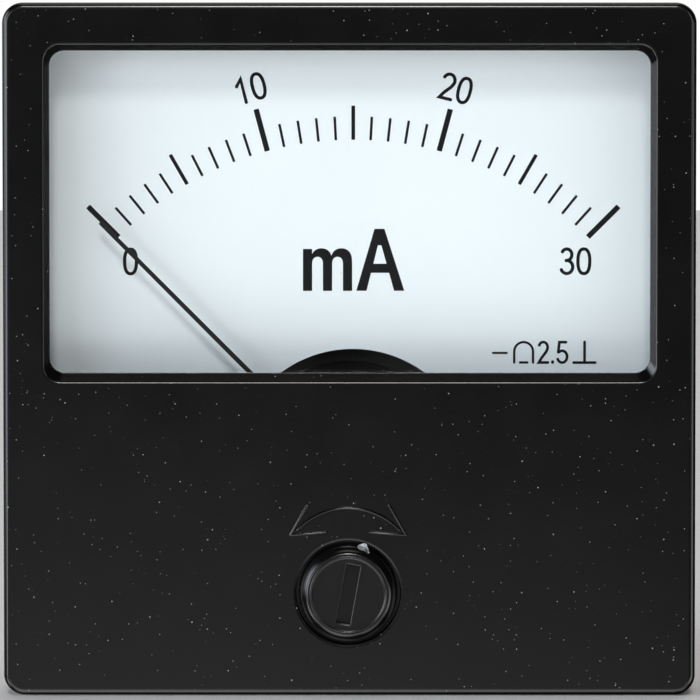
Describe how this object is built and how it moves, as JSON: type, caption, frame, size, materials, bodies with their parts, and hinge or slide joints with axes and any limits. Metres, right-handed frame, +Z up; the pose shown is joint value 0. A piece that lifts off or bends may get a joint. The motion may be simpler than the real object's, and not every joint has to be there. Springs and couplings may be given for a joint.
{
  "type": "analog panel meter",
  "caption": "Square-front moving-coil panel meter: black bezel, glazed arc-scale dial, swinging pointer, slotted zero adjuster, round rear body with screw terminals.",
  "frame": {"origin": "centre of the flange's rear face, on the panel's front surface plane, midway between the mounting studs", "axes": "+X right and +Z up as seen from the front; the front faces -Y, the studs and terminals point along +Y"},
  "size_m": [0.06, 0.0532, 0.06],
  "materials": {
    "black_moulding": "satin",
    "clear_pane": "gloss",
    "dial_white": "matte",
    "pointer_black": "matte",
    "adjuster_black": "satin",
    "plated_steel": "satin",
    "brass": "satin",
    "soft_iron": "matte",
    "magnet": "satin",
    "alloy_frame": "matte",
    "fibre_spacer": "matte",
    "coil_former": "satin",
    "copper_wire": "gloss",
    "pivot_steel": "polished",
    "spring_bronze": "polished",
    "resistor_body": "matte",
    "red_insulation": "satin",
    "black_insulation": "satin"
  },
  "bodies": {
    "root": {"front_cover": "black_moulding", "window_pane": "clear_pane", "rear_case": "black_moulding", "cover_screws": "plated_steel", "mounting_studs": "brass", "dial_plate": "dial_white", "dial_screws": "plated_steel", "dial_posts": "brass", "movement_frame": "alloy_frame", "movement_screws": "plated_steel", "yoke_ring": "soft_iron", "core_magnet": "magnet", "core_spacers": "fibre_spacer", "rear_hairspring": "spring_bronze", "bridge_pillars": "brass", "front_bridge": "brass", "front_bridge_screws": "plated_steel", "rear_bridge": "brass", "rear_bridge_screws": "plated_steel", "front_jewel_screw": "brass", "rear_jewel_screw": "brass", "front_lock_nut": "plated_steel", "rear_lock_nut": "plated_steel", "pointer_stops": "plated_steel", "terminal_studs": "brass", "solder_lugs": "plated_steel", "terminal_washers": "plated_steel", "terminal_case_nuts": "brass", "terminal_spring_washers": "plated_steel", "terminal_wire_nuts": "brass", "shunt_resistor": "resistor_body", "positive_lead": "red_insulation", "negative_lead": "black_insulation"},
    "moving_element": {"coil_former": "coil_former", "coil_winding": "copper_wire", "front_pivot": "pivot_steel", "rear_pivot": "pivot_steel", "pointer_hub": "coil_former", "balance_weights": "brass", "pointer": "pointer_black"},
    "adjuster": {"zero_adjuster": "adjuster_black", "adjuster_retaining_ring": "plated_steel"},
    "lever": {"zero_lever": "brass", "front_hairspring": "spring_bronze"}
  },
  "joints": [
    {"name": "pointer_sweep", "type": "hinge", "parent": "root", "child": "moving_element", "pos_m": [-0.0001, 0, -0.0108], "axis": [0, 1, 0], "range_deg": [-2, 93], "stiffness_Nm_per_rad": 0.00003, "deforming": ["front_hairspring", "rear_hairspring"]},
    {"name": "zero_adjuster_turn", "type": "hinge", "parent": "root", "child": "adjuster", "pos_m": [-0.0001, 0, -0.0211], "axis": [0, 1, 0], "range_deg": [-40, 40]},
    {"name": "zero_lever_swing", "type": "hinge", "parent": "root", "child": "lever", "pos_m": [-0.0001, 0, -0.0108], "axis": [0, 1, 0], "range_deg": [-7, 7]}
  ],
  "couplings": [
    {"joint": "zero_lever_swing", "follows": "zero_adjuster_turn", "ratio": -0.156}
  ]
}
